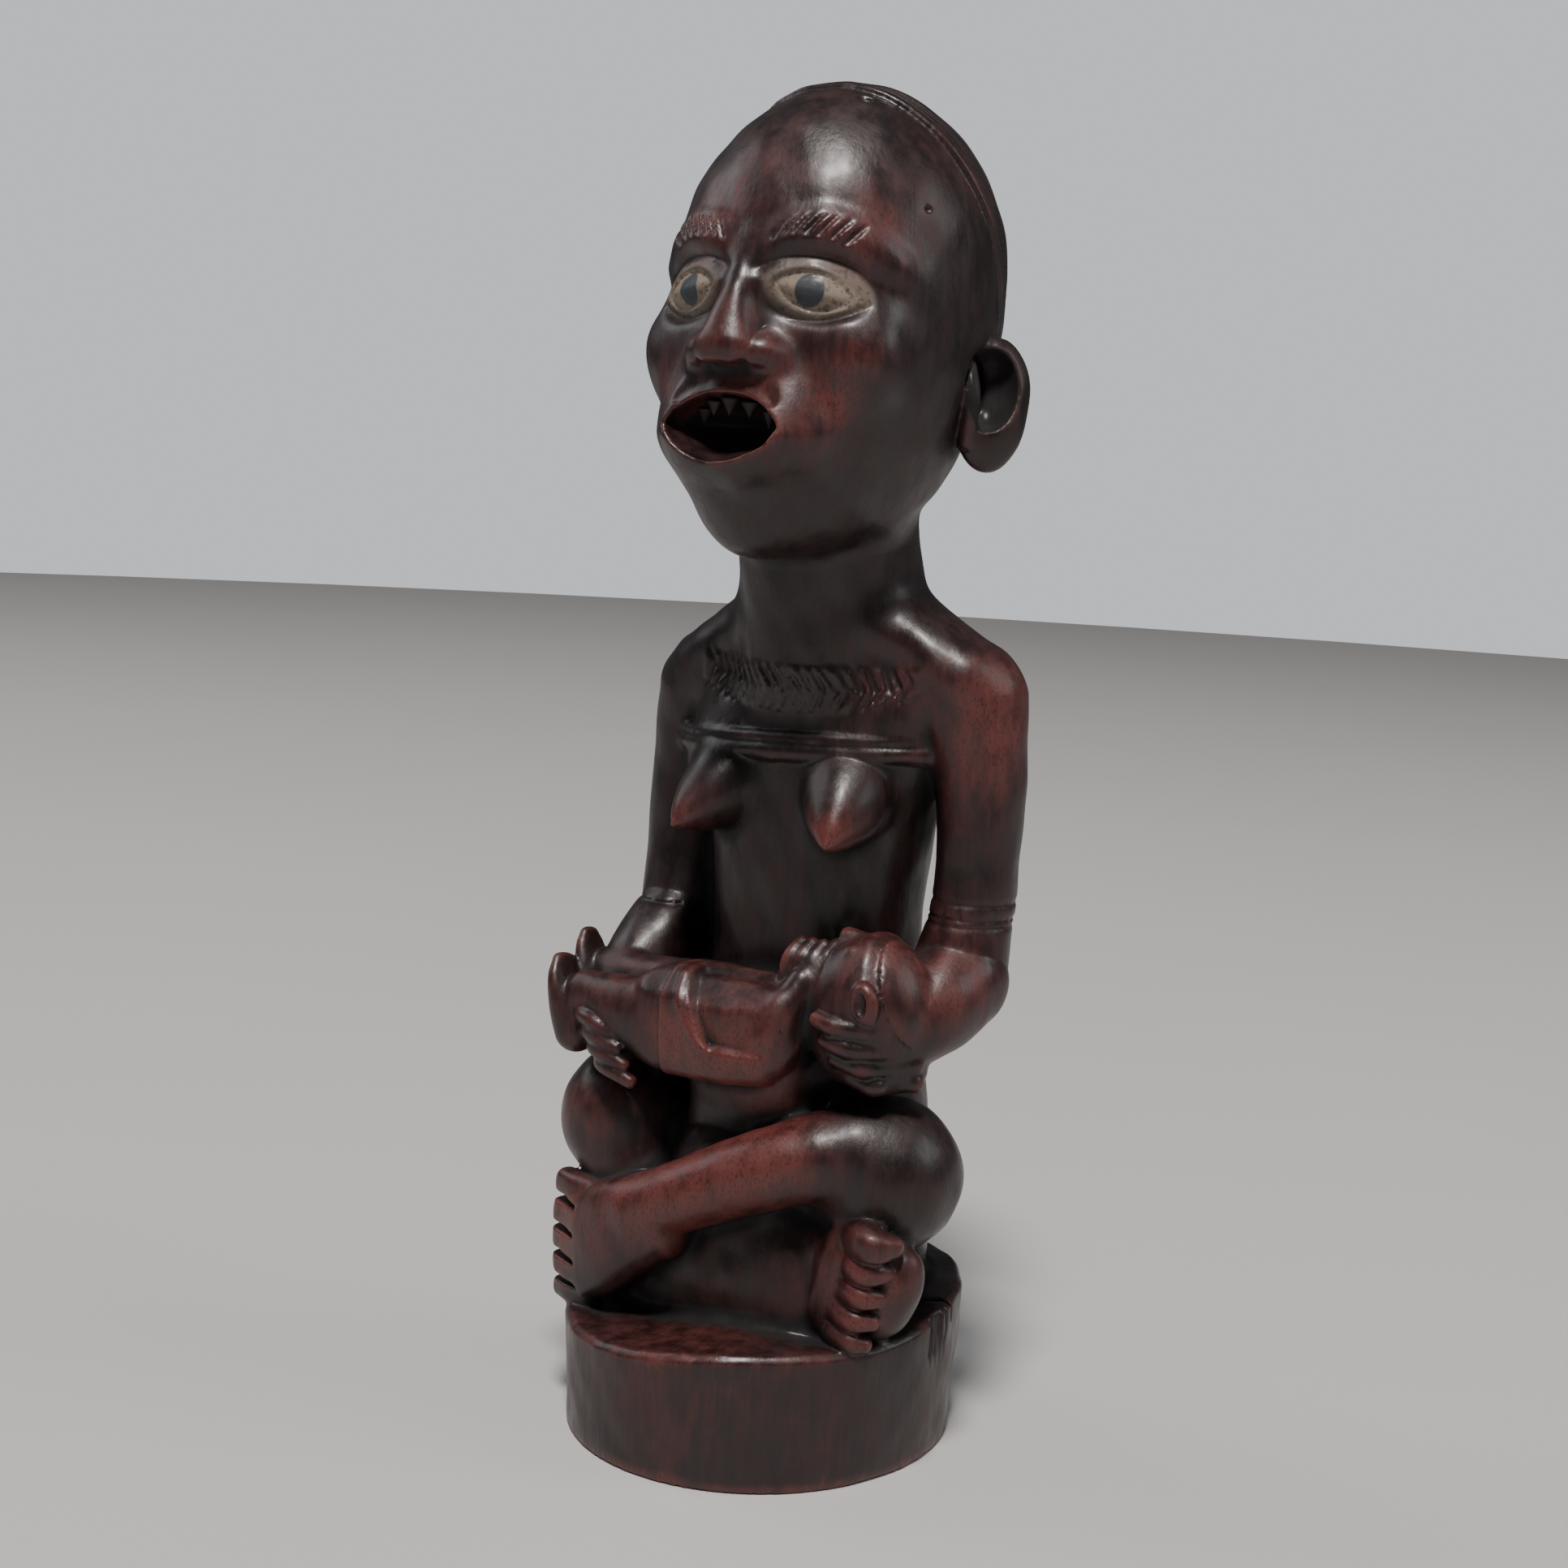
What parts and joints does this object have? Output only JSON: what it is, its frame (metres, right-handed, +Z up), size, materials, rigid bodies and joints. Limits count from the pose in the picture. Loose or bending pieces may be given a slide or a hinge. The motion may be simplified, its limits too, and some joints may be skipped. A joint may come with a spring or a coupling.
{
  "type": "african maternity figure",
  "caption": "Carved wooden mother sitting cross-legged on an oval drum base, with a child lying across her lap.",
  "frame": {"origin": "middle of the flat underside of the base", "axes": "+Z up, the mother looks along -Y, her left side is +X"},
  "size_m": [0.1322, 0.1296, 0.4037],
  "materials": {
    "wood": "dark red-brown hardwood, polished by handling"
  },
  "bodies": {
    "root": {"maternity_figure": "wood"}
  },
  "joints": []
}
